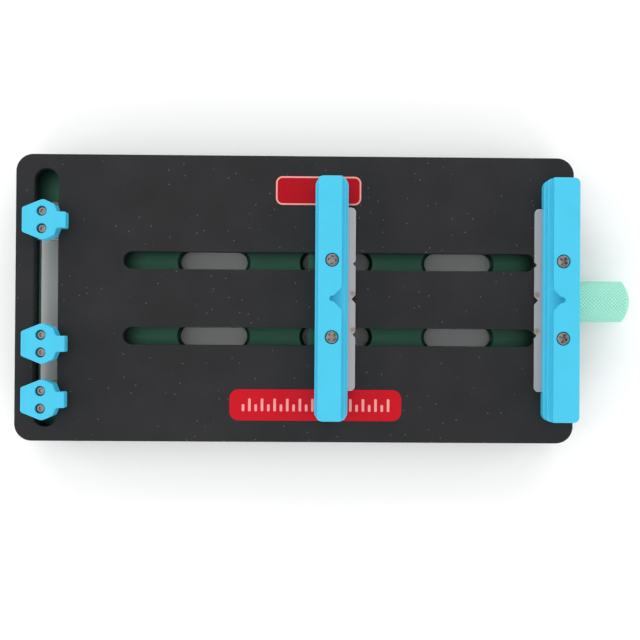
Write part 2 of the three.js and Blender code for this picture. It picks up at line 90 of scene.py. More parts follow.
class ViseSizes(bpy.types.PropertyGroup):
    """Sizes of the details that the machining leaves on the vise"""

    plate_edge: length("Plate edge", "Broken edge of the top plate and its slots", 0.0003)
    jaw_edge: length("Jaw edge", "Rounded edge of the jaws", 0.00028)
    clip_edge: length("Clip edge", "Rounded edge of the board clips", 0.00035)
    steel_edge: length("Steel edge", "Broken edge of the jaw inserts", 0.00015)
    knurl_pitch: length("Knurl pitch", "Width of one knurl diamond", 0.0009)
    knurl_depth: length("Knurl depth", "Depth of the knurl's grooves", 0.00028)
    thread_pitch: length("Thread pitch", "Distance between the lead screw's ridges", 0.001)
    thread_depth: length("Thread depth", "Depth of the lead screw's thread", 0.00045)
    label_border: length("Label border", "Width of the outline printed on the back label", 0.0006)
    recess_depth: length("Recess depth", "Depth of the cross recess in the jaw and plate screws", 0.0014)
    bearing_balls: IntProperty(name="Bearing balls", description="Balls in each bearing", default=7, min=3)


class ViseColours(bpy.types.PropertyGroup):
    """Colours of the vise's finishes"""

    plate: colour("Plate", "Black anodised top plate", "1f1f21")
    dust: colour("Dust", "Fine dust and rub marks on the plate", "77777c")
    body: colour("Body", "Green anodised body", "35604f")
    jaw: colour("Jaw", "Sky blue lacquer of the jaws and clips", "3fbbdc")
    knob: colour("Knob", "Mint anodised knob, on the knurl's tips", "b9efdf")
    # Painted shade: the deeper green that the knurl's grooves get.
    knob_groove_shade: colour("Knob grooves", "Mint anodised knob, in the knurl's grooves", "86d2b9")
    insert: colour("Inserts", "Ground stainless steel", "b6b3b7")
    heat_stain: colour("Heat stain", "Straw to brown stain of heated steel", "a07a58")
    screw: colour("Screws", "Nickel-plated screws", "928b88")
    label_back: colour("Back label", "Dark red printed film", "a80f1b")
    label_front: colour("Front label", "Red printed film", "bd1423")
    label_print: colour("Label print", "Pale print on the labels", "e69a94")
    brass: colour("Brass", "Turned brass of the nut and bushes", "c9a25a")
    rubber: colour("Feet", "Moulded rubber", "1d1d1f")
    nylon: colour("Washer", "Natural nylon", "deded6")
    floor: colour("Floor", "Pale floor", "fafafa")


def sizes():
    return bpy.context.scene.vise_sizes


def colours():
    return bpy.context.scene.vise_colours


# ------------------------------------------------------------------ nodes and finishes


def add_node(tree, kind, inputs=None, **settings):
    """Adds a node with its settings; an input given as a socket is linked, any other is set."""
    node = tree.nodes.new(kind)
    for name, value in settings.items():
        setattr(node, name, value)
    for name, value in (inputs or {}).items():
        if isinstance(value, bpy.types.NodeSocket):
            tree.links.new(value, node.inputs[name])
        else:
            node.inputs[name].default_value = value
    return node


def rgba(value):
    return (*value, 1.0)


def per_mm(size):
    """Pattern scale for features of that many millimetres, on coordinates in metres."""
    return 1 / (size * MM)


def finish(name, **values):
    """A material with one Principled shader; gives it, its tree, the shader and the place on the piece."""
    material = bpy.data.materials.new(name)
    material.use_nodes = True
    tree = material.node_tree
    tree.nodes.clear()
    inputs = {key.replace("_", " "): value for key, value in values.items()}
    shader = add_node(tree, "ShaderNodeBsdfPrincipled", inputs)
    add_node(tree, "ShaderNodeOutputMaterial", {"Surface": shader.outputs["BSDF"]})
    place = add_node(tree, "ShaderNodeTexCoord").outputs["Object"]
    return material, tree, shader, place


def patterned(name, base, tone, rough=None, bump=None, **values):
    """A finish whose colour, roughness and bump follow noise; gives what finish gives, and the colour.

    A pattern is (size in mm, detail), and if it is drawn out also its scale along X, Y and Z. tone is
    (pattern, darkest, lightest) in shares of the base colour, rough is (pattern, least, most) and bump
    is (pattern, strength, depth in mm).
    """
    material, tree, shader, place = finish(name, **values)
    noise = {}
    for pattern in dict.fromkeys(row[0] for row in (tone, rough, bump) if row):
        size, detail, *stretch = pattern
        where = place
        if stretch:
            drawn_out = add_node(tree, "ShaderNodeMapping", {"Vector": place, "Scale": stretch})
            where = drawn_out.outputs["Vector"]
        noise[pattern] = add_node(tree, "ShaderNodeTexNoise", {
            "Vector": where, "Scale": per_mm(size), "Detail": detail,
        }).outputs["Fac"]
    pattern, dark, light = tone
    mixed = add_node(tree, "ShaderNodeMix", {
        "Factor": noise[pattern],
        6: rgba([c * dark for c in base]),
        7: rgba([min(1.0, c * light) for c in base]),
    }, data_type="RGBA")
    tree.links.new(mixed.outputs[2], shader.inputs["Base Color"])
    if rough:
        pattern, least, most = rough
        spread = add_node(tree, "ShaderNodeMapRange", {
            "Value": noise[pattern], "To Min": least, "To Max": most,
        })
        tree.links.new(spread.outputs["Result"], shader.inputs["Roughness"])
    if bump:
        pattern, strength, depth = bump
        relief = add_node(tree, "ShaderNodeBump", {
            "Strength": strength, "Distance": depth * MM, "Height": noise[pattern],
        })
        tree.links.new(relief.outputs["Normal"], shader.inputs["Normal"])
    return material, tree, shader, place, mixed.outputs[2]


def black_anodised_aluminium():
    # Aluminium plate, bead-blasted then black anodised: a dry, even black with a very fine grain,
    # slightly cloudy, that holds pale dust. The grain is 0.35 mm as drawn; the real one is nearer 0.1 mm.
    grain = (0.35, 3.0)
    material, tree, shader, place, tone = patterned(
        "black_anodised_aluminium", colours().plate, ((14, 4.0), 0.55, 1.5), (grain, 0.5, 0.72),
        (grain, 0.35, 0.02), Metallic=0.0, Specular_IOR_Level=0.25,
    )
    # Dust: cells of about 2.6 mm, in six of ten of which lies a faint speck some 0.4 mm across.
    cells = add_node(tree, "ShaderNodeTexVoronoi", {"Vector": place, "Scale": per_mm(2.6), "Randomness": 1.0})
    near = add_node(tree, "ShaderNodeMapRange", {
        "Value": cells.outputs["Distance"], "From Min": 0.05, "From Max": 0.11, "To Min": 1.0, "To Max": 0.0,
    })
    chosen = add_node(tree, "ShaderNodeSeparateColor", {"Color": cells.outputs["Color"]})
    held = add_node(tree, "ShaderNodeMath", {0: chosen.outputs["Red"], 1: 0.4}, operation="GREATER_THAN")
    speck = add_node(tree, "ShaderNodeMath", {
        0: near.outputs["Result"], 1: held.outputs[0],
    }, operation="MULTIPLY")
    faint = add_node(tree, "ShaderNodeMath", {0: speck.outputs[0], 1: 0.5}, operation="MULTIPLY")
    dusty = add_node(tree, "ShaderNodeMix", {
        "Factor": faint.outputs[0], 6: tone, 7: rgba(colours().dust),
    }, data_type="RGBA")
    tree.links.new(dusty.outputs[2], shader.inputs["Base Color"])
    return material


def blue_lacquer():
    # Aluminium, sprayed with sky blue lacquer and baked: an opaque satin skin with a fine orange peel.
    cloud, peel = (9, 5.0), (0.7, 2.0)
    return patterned("blue_baked_lacquer", colours().jaw, (cloud, 0.94, 1.06), (cloud, 0.36, 0.5),
                     (peel, 0.25, 0.02), Metallic=0.0, Specular_IOR_Level=0.4)[0]


def green_anodised_aluminium():
    # Milled aluminium, bright dipped then green anodised: the metal shines through the dye, with
    # faint cutter marks along X.
    marks = (0.4, 2.0, 0.03, 1.0, 1.0)
    return patterned("green_anodised_aluminium", colours().body, ((20, 3.0), 0.85, 1.15), (marks, 0.3, 0.48),
                     (marks, 0.25, 0.02), Metallic=0.75)[0]


def mint_anodised_aluminium():
    # Turned, knurled and mint anodised aluminium: paler on the knurl's tips, and a deeper green in its
    # grooves as painted shade.
    material, tree, shader, place = finish("mint_anodised_aluminium", Metallic=0.35, Roughness=0.5)
    low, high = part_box("knob")
    axis_z, radius = (low.z + high.z) / 2, (high.z - low.z) / 2
    centred = add_node(tree, "ShaderNodeMapping", {"Vector": place, "Location": (0, 0, -axis_z)})
    across = add_node(tree, "ShaderNodeVectorMath", {
        0: centred.outputs["Vector"], 1: (0, 1, 1),
    }, operation="MULTIPLY")
    reach = add_node(tree, "ShaderNodeVectorMath", {0: across.outputs[0]}, operation="LENGTH")
    # Painted shade: the deeper into a knurl groove, the more of the deeper green.
    tips = add_node(tree, "ShaderNodeMapRange", {
        "Value": reach.outputs["Value"], "From Min": radius - sizes().knurl_depth, "From Max": radius,
    })
    # The smooth dome takes a tone between the grooves' painted shade and the tips.
    along = add_node(tree, "ShaderNodeSeparateXYZ", {"Vector": place})
    dome = add_node(tree, "ShaderNodeMapRange", {
        "Value": along.outputs["X"], "From Min": high.x - (KNOB_CROWN + 0.05) * MM,
        "From Max": high.x - KNOB_CROWN * MM, "To Max": 0.2,
    })
    pale = add_node(tree, "ShaderNodeMath", {
        0: tips.outputs["Result"], 1: dome.outputs["Result"],
    }, operation="MAXIMUM")
    cloud = add_node(tree, "ShaderNodeTexNoise", {"Vector": place, "Scale": per_mm(3), "Detail": 3.0})
    rub = add_node(tree, "ShaderNodeMapRange", {
        "Value": cloud.outputs["Fac"], "To Min": 0.85, "To Max": 1.05,
    })
    shade_and_rub = add_node(tree, "ShaderNodeMath", {
        0: pale.outputs[0], 1: rub.outputs["Result"],
    }, operation="MULTIPLY")
    tone = add_node(tree, "ShaderNodeMix", {
        "Factor": shade_and_rub.outputs[0], 6: rgba(colours().knob_groove_shade), 7: rgba(colours().knob),
    }, data_type="RGBA")
    tree.links.new(tone.outputs[2], shader.inputs["Base Color"])
    return material


def ground_steel(name, streak=(1.0, 0.02, 1.0), stain_at=()):
    # Stainless steel, surface ground: fine straight lines along the long side and a soft grey shine.
    lines = (0.25, 3.0, *streak)
    material, tree, shader, place, last = patterned(
        name, colours().insert, (lines, 0.9, 1.1), (lines, 0.3, 0.5), (lines, 0.2, 0.01), Metallic=0.9)
    for spot in stain_at:
        # Heat stain: a straw and brown patch about 1.7 mm across, uneven at its edge.
        centred = add_node(tree, "ShaderNodeMapping", {"Vector": place, "Location": [-c for c in spot]})
        reach = add_node(tree, "ShaderNodeVectorMath", {0: centred.outputs["Vector"]}, operation="LENGTH")
        uneven = add_node(tree, "ShaderNodeTexNoise", {"Vector": place, "Scale": per_mm(0.8), "Detail": 3.0})
        edge = add_node(tree, "ShaderNodeMath", {
            0: uneven.outputs["Fac"], 1: 0.8 * MM, 2: reach.outputs["Value"],
        }, operation="MULTIPLY_ADD")
        patch = add_node(tree, "ShaderNodeMapRange", {
            "Value": edge.outputs[0], "From Min": 0.8 * MM, "From Max": 1.7 * MM,
            "To Min": 0.75, "To Max": 0.0,
        })
        last = add_node(tree, "ShaderNodeMix", {
            "Factor": patch.outputs["Result"], 6: last, 7: rgba(colours().heat_stain),
        }, data_type="RGBA").outputs[2]
    tree.links.new(last, shader.inputs["Base Color"])
    return material


def nickel_plated_steel():
    # Cold-headed steel screw, nickel-plated: bright warm grey, a little dulled by handling, mottled at random
    # with painted highlights and shade.
    mottle = (0.9, 4.0)
    # Painted highlights and shade: the tone runs at random from under half to nearly twice the base colour.
    return patterned("nickel_plated_steel", colours().screw, (mottle, 0.45, 1.8), (mottle, 0.16, 0.34),
                     Metallic=1.0)[0]


def turned_brass():
    # Free-cutting brass, turned: warm yellow, slightly uneven in tone and shine.
    mottle = (0.5, 3.0)
    return patterned("turned_brass", colours().brass, (mottle, 0.85, 1.1), (mottle, 0.25, 0.42),
                     Metallic=1.0)[0]


def moulded_rubber():
    # Moulded black rubber: dull, slightly dusty, with a fine pebble from the mould.
    pebble = (0.6, 3.0)
    return patterned("moulded_rubber", colours().rubber, (pebble, 0.75, 1.5), bump=(pebble, 0.5, 0.05),
                     Metallic=0.0, Roughness=0.85)[0]


def printed_film(name, base):
    # Printed vinyl film under a clear skin: even ink, a soft shine and a hint of the plate's grain.
    return patterned(name, base, ((2, 4.0), 0.93, 1.07), bump=((0.4, 2.0), 0.15, 0.02),
                     Metallic=0.0, Roughness=0.4, Specular_IOR_Level=0.08)[0]


def natural_nylon():
    # Turned nylon: milky white, waxy, a little light under its surface.
    return patterned("natural_nylon", colours().nylon, ((1.5, 2.0), 0.95, 1.0),
                     Metallic=0.0, Roughness=0.45, Subsurface_Weight=0.15,
                     Subsurface_Radius=(0.001, 0.001, 0.0008), Subsurface_Scale=0.5)[0]


def studio_floor():
    # Matt painted board: plain and pale, hardly any shine.
    return patterned("matt_white_board", colours().floor, ((60, 2.0), 0.985, 1.0),
                     Metallic=0.0, Roughness=0.9, Specular_IOR_Level=0.1)[0]


FINISHES = {
    "black_plate": black_anodised_aluminium,
    "green_body": green_anodised_aluminium,
    "blue_jaw": blue_lacquer,
    "mint_knob": mint_anodised_aluminium,
    "ground_steel": lambda: ground_steel("ground_steel"),
    "rod_steel": lambda: ground_steel("ground_rod_steel", (0.02, 1.0, 1.0)),
    "screw_steel": nickel_plated_steel,
    "brass": turned_brass,
    "rubber_foot": moulded_rubber,
    "label_back": lambda: printed_film("dark_red_printed_film", colours().label_back),
    "label_front": lambda: printed_film("red_printed_film", colours().label_front),
    "label_print": lambda: printed_film("pale_printed_film", colours().label_print),
    "nylon_washer": natural_nylon,
}
_made = {}


def material_for(slot):
    if slot not in _made:
        _made[slot] = FINISHES[slot]()
    return _made[slot]


# ------------------------------------------------------------------ outlines and shells


def arc(cx, cy, r, start, end, steps):
    """Points on an arc, angles in degrees."""
    turn = [math.radians(start + (end - start) * i / steps) for i in range(steps + 1)]
    return [(cx + r * math.cos(a), cy + r * math.sin(a)) for a in turn]


def filleted(corners, steps=7):
    """A closed outline through corners (x, y, radius), with each corner rounded."""
    points = []
    for i, (x, y, r) in enumerate(corners):
        here = Vector((x, y))
        if r == 0:
            points.append((x, y))
            continue
        before = (Vector(corners[i - 1][:2]) - here).normalized()
        after = (Vector(corners[(i + 1) % len(corners)][:2]) - here).normalized()
        half = before.angle(after) / 2
        middle = here + (before + after).normalized() * r / math.sin(half)
        start = here + before * r / math.tan(half) - middle
        end = here + after * r / math.tan(half) - middle
        sweep = start.angle_signed(end)
        for k in range(steps + 1):
            turned = start.copy()
            turned.rotate(Matrix.Rotation(-sweep * k / steps, 2))
            points.append(tuple(middle + turned))
    return points


def rectangle(x0, x1, y0, y1, r=0, steps=7):
    return filleted([(x1, y0, r), (x1, y1, r), (x0, y1, r), (x0, y0, r)], steps)


def pill(x, y, long_side, width, along_y=False, steps=14):
    """A slot with round ends, measured over its ends."""
    r, reach = width / 2, (long_side - width) / 2
    if along_y:
        return arc(x, y + reach, r, 0, 180, steps) + arc(x, y - reach, r, 180, 360, steps)
    return arc(x + reach, y, r, -90, 90, steps) + arc(x - reach, y, r, 90, 270, steps)


def prism(loop, z0, z1):
    """An outline raised from z0 to z1."""
    n = len(loop)
    verts = [(x, y, z0) for x, y in loop] + [(x, y, z1) for x, y in loop]
    sides = [(i, (i + 1) % n, n + (i + 1) % n, n + i) for i in range(n)]
    return verts, sides + [tuple(reversed(range(n))), tuple(range(n, 2 * n))]


def inset_loop(loop, inset):
    """The loop moved to its left by that much: into an outline, and out of a hole that runs clockwise."""
    points = [Vector(p) for p in loop]
    out = []
    for i, here in enumerate(points):
        into = (here - points[i - 1]).normalized().orthogonal()
        away = (points[(i + 1) % len(points)] - here).normalized().orthogonal()
        out.append(tuple(here + (into + away) * inset / (1 + into.dot(away))))
    return out


def rounded(z0, z1, bottom, top, steps=3):
    """(inset, height) levels of a wall with a quarter round at its foot and at its top."""
    turn = [math.pi / 2 * k / steps for k in range(steps + 1)]
    foot, head = [(0, z0)], [(0, z1)]
    if bottom:
        foot = [(bottom * (1 - math.sin(a)), z0 + bottom * (1 - math.cos(a))) for a in turn]
    if top:
        head = [(top * (1 - math.sin(a)), z1 - top * (1 - math.cos(a))) for a in turn]
    return foot + head[::-1]


def slab(outer, levels, holes=()):
    """A closed slab from an outline and holes, all anticlockwise; its wall follows (inset, height) levels."""
    loops = [outer] + [hole[::-1] for hole in holes]
    verts, faces, rings = [], [], []
    for inset, z in levels:
        ring = []
        for loop in loops:
            ring.append(range(len(verts), len(verts) + len(loop)))
            verts += [(x, y, z) for x, y in inset_loop(loop, inset)]
        rings.append(ring)
    for low, high in zip(rings, rings[1:]):
        for a, b in zip(low, high):
            n = len(a)
            faces += [(a[i], a[(i + 1) % n], b[(i + 1) % n], b[i]) for i in range(n)]
    for ring in (rings[0], rings[-1]):
        flat = [i for loop in ring for i in loop]
        local = {v: k for k, v in enumerate(flat)}
        edges = [(local[loop[i - 1]], local[loop[i]]) for loop in ring for i in range(len(loop))]
        corners = [Vector(verts[i][:2]) for i in flat]
        found = delaunay_2d_cdt(corners, edges, [[local[i] for i in loop] for loop in ring], 2, 1e-7)
        faces += [tuple(flat[found[3][k][0]] for k in face) for face in found[2]]
    return verts, faces


def tapered(loop, z0, z1, shrink):
    """A prism about the Z axis whose lower outline is smaller by that factor."""
    verts, faces = prism(loop, z0, z1)
    n = len(loop)
    return [(x * shrink, y * shrink, z) for x, y, z in verts[:n]] + verts[n:], faces


def lathe(profile, steps=48):
    """Turned about Z from (radius, height) pairs; radius 0 is a pole, and a profile with none is a ring."""
    verts, faces, rows = [], [], []
    for r, z in profile:
        if r == 0:
            rows.append([len(verts)] * steps)
            verts.append((0, 0, z))
        else:
            rows.append(list(range(len(verts), len(verts) + steps)))
            turn = [2 * math.pi * k / steps for k in range(steps)]
            verts += [(r * math.cos(a), r * math.sin(a), z) for a in turn]
    closed = profile[0][0] != 0
    pairs = list(zip(rows, rows[1:])) + ([(rows[-1], rows[0])] if closed else [])
    for low, high in pairs:
        for k in range(steps):
            n = (k + 1) % steps
            face = [low[k], low[n], high[n], high[k]]
            faces.append(tuple(dict.fromkeys(face)))
    return verts, [f for f in faces if len(f) > 2]


def box(x0, x1, y0, y1, z0, z1):
    return prism([(x0, y0), (x1, y0), (x1, y1), (x0, y1)], z0, z1)


def moved(shell, x=0.0, y=0.0, z=0.0, turn=(0, 0, 0)):
    """The shell turned by that many degrees about X, Y and Z, then moved."""
    spin = Euler([math.radians(a) for a in turn]).to_matrix()
    shift = Vector((x, y, z))
    return [tuple(spin @ Vector(v) + shift) for v in shell[0]], shell[1]


def mesh_of(*shells):
    """One mesh in metres, in place, from shells in millimetres; faces point outwards."""
    bm = bmesh.new()
    for verts, faces in shells:
        made = [bm.verts.new(PLATE + Vector(v) * MM) for v in verts]
        for face in faces:
            bm.faces.new([made[i] for i in face])
    bmesh.ops.recalc_face_normals(bm, faces=bm.faces)
    mesh = bpy.data.meshes.new("shell")
    bm.to_mesh(mesh)
    bm.free()
    return mesh


def new_object(name, mesh):
    obj = bpy.data.objects.new(name, mesh)
    bpy.context.scene.collection.objects.link(obj)
    return obj


def settle(obj):
    """Turns the modifiers' result into the object's own plain mesh."""
    graph = bpy.context.evaluated_depsgraph_get()
    seen = obj.evaluated_get(graph)
    mesh = bpy.data.meshes.new_from_object(seen, preserve_all_data_layers=True, depsgraph=graph)
    obj.modifiers.clear()
    old, obj.data = obj.data, mesh
    bpy.data.meshes.remove(old)
    return obj


def weld(mesh, flatten=False):
    """Merges doubled corners; if asked, also makes each flat face whole again."""
    bm = bmesh.new()
    bm.from_mesh(mesh)
    bmesh.ops.remove_doubles(bm, verts=bm.verts, dist=0.002 * MM)
    bmesh.ops.dissolve_degenerate(bm, edges=bm.edges, dist=0.0005 * MM)
    if flatten:
        bmesh.ops.dissolve_limit(bm, angle_limit=math.radians(0.5), verts=bm.verts, edges=bm.edges)
    bm.to_mesh(mesh)
    bm.free()


def combine(obj, operation, shells):
    """Adds the shells to the object, cuts them from it, or keeps what they share with it."""
    helpers = [new_object("helper", mesh_of(shell)) for shell in shells]
    for helper in helpers:
        change = obj.modifiers.new("combine", "BOOLEAN")
        change.operation, change.solver, change.object = operation, "EXACT", helper
    weld(settle(obj).data)
    for helper in helpers:
        mesh = helper.data
        bpy.data.objects.remove(helper)
        bpy.data.meshes.remove(mesh)


def smooth(obj, angle=35):
    """Shades the piece smooth, except at edges sharper than the angle."""
    for polygon in obj.data.polygons:
        polygon.use_smooth = True
    obj.data.set_sharp_from_angle(angle=math.radians(angle))


def shaded(obj, angle=35):
    """Smooth over rounded edges and curves, crisp at sharper edges, and flat on flat faces."""
    smooth(obj, angle)
    shading = obj.modifiers.new("shading", "WEIGHTED_NORMAL")
    shading.mode, shading.weight, shading.keep_sharp = "FACE_AREA", 50, True
    return settle(obj)


def machined(name, blank, cuts=(), adds=()):
    """A piece from a blank shell, added to and then cut."""
    obj = new_object(name, mesh_of(blank))
    for operation, shells in (("UNION", adds), ("DIFFERENCE", cuts)):
        if shells:
            combine(obj, operation, shells)
    return shaded(obj)


def refined(name, node, edge):
    """A copy of a CAD node with its flat faces made whole and its edges of over 32 degrees rounded."""
    obj = new_object(name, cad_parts[node].data.copy())
    weld(obj.data, flatten=True)
    rounding = obj.modifiers.new("edges", "BEVEL")
    rounding.width, rounding.segments = edge, 2
    rounding.limit_method, rounding.angle_limit = "ANGLE", math.radians(32)
    rounding.use_clamp_overlap = False
    return shaded(settle(obj), 50)


def finished(obj, body, slot, *nodes, material=None):
    """Gives the piece its finish and its body, and hides the CAD nodes that it stands for."""
    obj.data.materials.clear()
    obj.data.materials.append(material or material_for(slot))
    obj.data.name = obj.name
    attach(obj, body)
    if nodes:
        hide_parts(*nodes)
    return obj


# ------------------------------------------------------------------ geometry node trees


def new_tree(name, sockets):
    """A geometry node tree with named inputs; gives the tree and its input and output nodes."""
    tree = bpy.data.node_groups.new(name, "GeometryNodeTree")
    tree.interface.new_socket("Geometry", in_out="INPUT", socket_type="NodeSocketGeometry")
    for label, kind in sockets:
        tree.interface.new_socket(label, in_out="INPUT", socket_type="NodeSocket" + kind)
    tree.interface.new_socket("Geometry", in_out="OUTPUT", socket_type="NodeSocketGeometry")
    return tree, add_node(tree, "NodeGroupInput"), add_node(tree, "NodeGroupOutput")


def closed_tree(tree, given, result, last):
    """Ends the tree: its last node's geometry is made real and gets its finish."""
    real = add_node(tree, "GeometryNodeRealizeInstances", {"Geometry": last.outputs[0]})
    coated = add_node(tree, "GeometryNodeSetMaterial", {
        "Geometry": real.outputs[0], "Material": given.outputs["Finish"],
    })
    tree.links.new(coated.outputs[0], result.inputs["Geometry"])
    return tree


def run_tree(obj, tree, values):
    """Runs the tree on the object and keeps the result as its plain mesh."""
    grown = obj.modifiers.new(tree.name, "NODES")
    grown.node_group = tree
    for item in tree.interface.items_tree:
        if item.in_out == "INPUT" and item.name in values:
            grown[item.identifier] = values[item.name]
    return settle(obj)


def rows_of_pieces_tree():
    """Sets a copy of one piece on every point, each turned by its own amount about its axis."""
    tree, given, result = new_tree("rows_of_pieces", [
        ("Piece", "Object"), ("Largest Turn", "Float"), ("Upside Down", "Float"), ("Seed", "Int"),
        ("Finish", "Material"),
    ])
    piece = add_node(tree, "GeometryNodeObjectInfo", {"Object": given.outputs["Piece"], "As Instance": True})
    turn = add_node(tree, "FunctionNodeRandomValue", {
        "Max": given.outputs["Largest Turn"], "Seed": given.outputs["Seed"],
    }, data_type="FLOAT")
    angles = add_node(tree, "ShaderNodeCombineXYZ", {"X": given.outputs["Upside Down"], "Z": turn.outputs[1]})
    placed = add_node(tree, "GeometryNodeInstanceOnPoints", {
        "Points": given.outputs["Geometry"], "Instance": piece.outputs["Geometry"],
        "Rotation": angles.outputs[0],
    })
    return closed_tree(tree, given, result, placed)


def grooved_shaft_tree():
    """Cuts helical grooves into a shaft along X: one hand for a thread, both hands for a knurl."""
    tree, given, result = new_tree("grooved_shaft", [
        ("Axis Height", "Float"), ("Grooves Round", "Float"), ("Axial Pitch", "Float"), ("Depth", "Float"),
        ("From", "Float"), ("To", "Float"), ("Both Hands", "Float"), ("Finish", "Material"),
    ])
    position = add_node(tree, "GeometryNodeInputPosition")
    where = add_node(tree, "ShaderNodeSeparateXYZ", {"Vector": position.outputs[0]})
    known = {name: where.outputs[name] for name in ("X", "Y", "Z")}
    known.update((socket.name, socket) for socket in given.outputs if socket.name)
    # Each row is a result, its operation and its inputs: numbers, this tree's inputs or earlier results.
    for result_name, operation, *values in (
        ("height", "SUBTRACT", "Z", "Axis Height"),
        ("angle", "ARCTAN2", "height", "Y"),
        ("turned", "DIVIDE", "angle", 2 * math.pi),
        ("round", "MULTIPLY", "turned", "Grooves Round"),
        ("along", "DIVIDE", "X", "Axial Pitch"),
        ("sum", "ADD", "along", "round"),
        ("sum up", "ADD", "sum", 100.0),
        ("right", "PINGPONG", "sum up", 0.5),
        ("gap", "SUBTRACT", "along", "round"),
        ("gap up", "ADD", "gap", 100.0),
        ("left", "PINGPONG", "gap up", 0.5),
        ("other", "MIX", "Both Hands", "right", "left"),
        ("nearest", "MINIMUM", "right", "other"),
        ("doubled", "MULTIPLY", "nearest", 2.0),
        ("low", "SUBTRACT", 1.0, "doubled"),
        ("steep", "MULTIPLY", "low", 1.5),
        ("lowered", "SUBTRACT", "steep", 0.5),
        ("walls", "MAXIMUM", "lowered", 0.0),
        ("groove", "SMOOTH_MIN", "walls", 1.0, 0.1),
        ("past start", "GREATER_THAN", "X", "From"),
        ("before end", "LESS_THAN", "X", "To"),
        ("inside", "MULTIPLY", "past start", "before end"),
        ("cut", "MULTIPLY", "groove", "inside"),
        ("sink", "MULTIPLY", "cut", "Depth"),
        ("Y squared", "MULTIPLY", "Y", "Y"),
        ("height squared", "MULTIPLY", "height", "height"),
        ("reach squared", "ADD", "Y squared", "height squared"),
        ("reach", "SQRT", "reach squared"),
        ("inwards", "MULTIPLY", "sink", -1.0),
        ("safe reach", "MAXIMUM", "reach", 0.0001),
        ("share", "DIVIDE", "inwards", "safe reach"),
        ("Y offset", "MULTIPLY", "Y", "share"),
        ("Z offset", "MULTIPLY", "height", "share"),
    ):
        values = [known.get(value, value) for value in values]
        if operation == "MIX":
            inputs = dict(zip(("Factor", "A", "B"), values))
            node = add_node(tree, "ShaderNodeMix", inputs, data_type="FLOAT")
        else:
            node = add_node(tree, "ShaderNodeMath", dict(enumerate(values)), operation=operation)
        known[result_name] = node.outputs[0]
    offset = add_node(tree, "ShaderNodeCombineXYZ", {
        "Y": known["Y offset"], "Z": known["Z offset"],
    })
    cutting = add_node(tree, "GeometryNodeSetPosition", {
        "Geometry": given.outputs["Geometry"], "Offset": offset.outputs[0],
    })
    return closed_tree(tree, given, result, cutting)


def tree_for(maker):
    name = maker.__name__.removesuffix("_tree")
    return bpy.data.node_groups.get(name) or maker()


def pieces_on_points(name, pattern, points, slot, turn=0.0, upside_down=False, seed=1):
    """Copies of one piece, modelled about its own centre, on points in mm from the plate's middle."""
    single = new_object("single", mesh_of(pattern) if isinstance(pattern, tuple) else pattern)
    single.data.transform(Matrix.Translation(-PLATE))
    rows = bpy.data.meshes.new(name)
    rows.from_pydata([PLATE + Vector(p) * MM for p in points], [], [])
    obj = new_object(name, rows)
    run_tree(obj, tree_for(rows_of_pieces_tree), {
        "Piece": single, "Largest Turn": turn, "Upside Down": math.pi if upside_down else 0.0,
        "Seed": seed, "Finish": material_for(slot),
    })
    bpy.data.objects.remove(single)
    return obj


def shaft_along_x(profile, axis_z, steps):
    """Turned from (radius, x) pairs about the axis of the lead screw."""
    return moved(lathe(profile, steps), 0, 0, axis_z, (0, 90, 0))


def grooved(name, shell, axis_z, slot, around, pitch, depth, start, end, both_hands):
    obj = new_object(name, mesh_of(shell))
    run_tree(obj, tree_for(grooved_shaft_tree), {
        "Axis Height": PLATE.z + axis_z * MM, "Grooves Round": float(around), "Axial Pitch": pitch,
        "Depth": depth, "From": PLATE.x + start * MM, "To": PLATE.x + end * MM,
        "Both Hands": 1.0 if both_hands else 0.0,
        "Finish": material_for(slot),
    })
    return obj


# ------------------------------------------------------------------ plate, body, labels

JAW_SCREW_Y = (13.2, -13.2)  # also the middle lines of the two long slots
PLATE_SCREW_Y = (42, -42)
GUIDE_ROD_Y = (20, -20)
CROSS_X = node_box("clip_nut_back")[0].x + 5.6  # middle line of the cross slot
SIDES = ("back", "front")
PLATE_ENDS = ("left", "centre", "right")
CLIPS = ("back", "middle", "front")
SCREW_HOLE_RADIUS = 1.55  # for the jaw screws
WINDOW_PITCH = 43.85  # between the body's floor windows
BAR_PITCH, LONG_BAR, SHORT_BAR = 4.4, 4.4, 2.4  # the front label's scale


def middle_of(name):
    """Middle of a CAD node's box, in millimetres from the middle of the plate's top."""
    return [(a + b) / 2 for a, b in zip(*node_box(name))]


def circle(x, y, r, steps=40):
    return arc(x, y, r, 0, 360 - 360 / steps, steps - 1)


def plain(r, start, stop):
    """Profile of a plain round bar or bore."""
    return [(0, start), (r, start), (r, stop), (0, stop)]


def mesh_from(obj):
    """The object's mesh, without the object."""
    mesh = obj.data
    bpy.data.objects.remove(obj)
    return mesh


def build_plate():
    low, high = node_box("top_plate")
    slots = [pill(12, y, 144, 6.1) for y in JAW_SCREW_Y] + [pill(CROSS_X, 0, 90, 8.4, True)]
    taps = [circle(middle_of("fixed_jaw_screw_back")[0], y, SCREW_HOLE_RADIUS) for y in JAW_SCREW_Y]
    edge = sizes().plate_edge / MM
    wells = [moved(lathe(plain(1.8, -6, -1.2), 24), middle_of(f"plate_screw_back_{end}")[0], y)
             for end in PLATE_ENDS for y in PLATE_SCREW_Y]
    outer = rectangle(low.x, high.x, low.y, high.y, 6, 16)
    plate = machined("plate", slab(outer, rounded(low.z, high.z, edge, edge), slots + taps), wells)
    finished(plate, "root", "black_plate", "top_plate")


